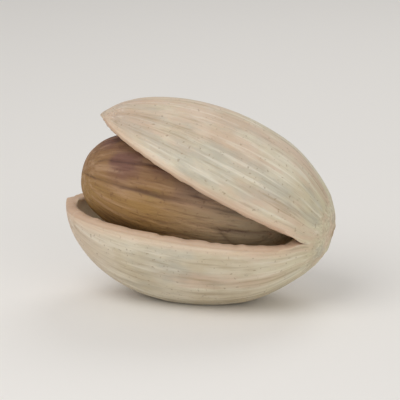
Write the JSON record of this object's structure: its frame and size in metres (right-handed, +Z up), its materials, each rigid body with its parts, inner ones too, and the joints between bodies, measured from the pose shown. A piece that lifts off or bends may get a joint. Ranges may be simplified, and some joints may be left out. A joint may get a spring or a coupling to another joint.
{
  "type": "pistachio in shell",
  "caption": "Pistachio nut in its split woody shell, lying on its underside with the open mouth raised and the egg-shaped kernel showing between the valves.",
  "frame": {"origin": "under the middle of the nut's bounding box, on the surface it rests on", "axes": "+Z up; +X along the nut from its open mouth to its stem end; -Y towards the longer side of the split"},
  "size_m": [0.0212, 0.0126, 0.0159],
  "materials": {
    "shell": "dry pale cream nut shell with fine lengthwise wrinkles, satin",
    "kernel": "dry thin skin in mauve-brown over ochre-green, matte"
  },
  "bodies": {
    "root": {"shell": "shell", "kernel": "kernel"}
  },
  "joints": []
}
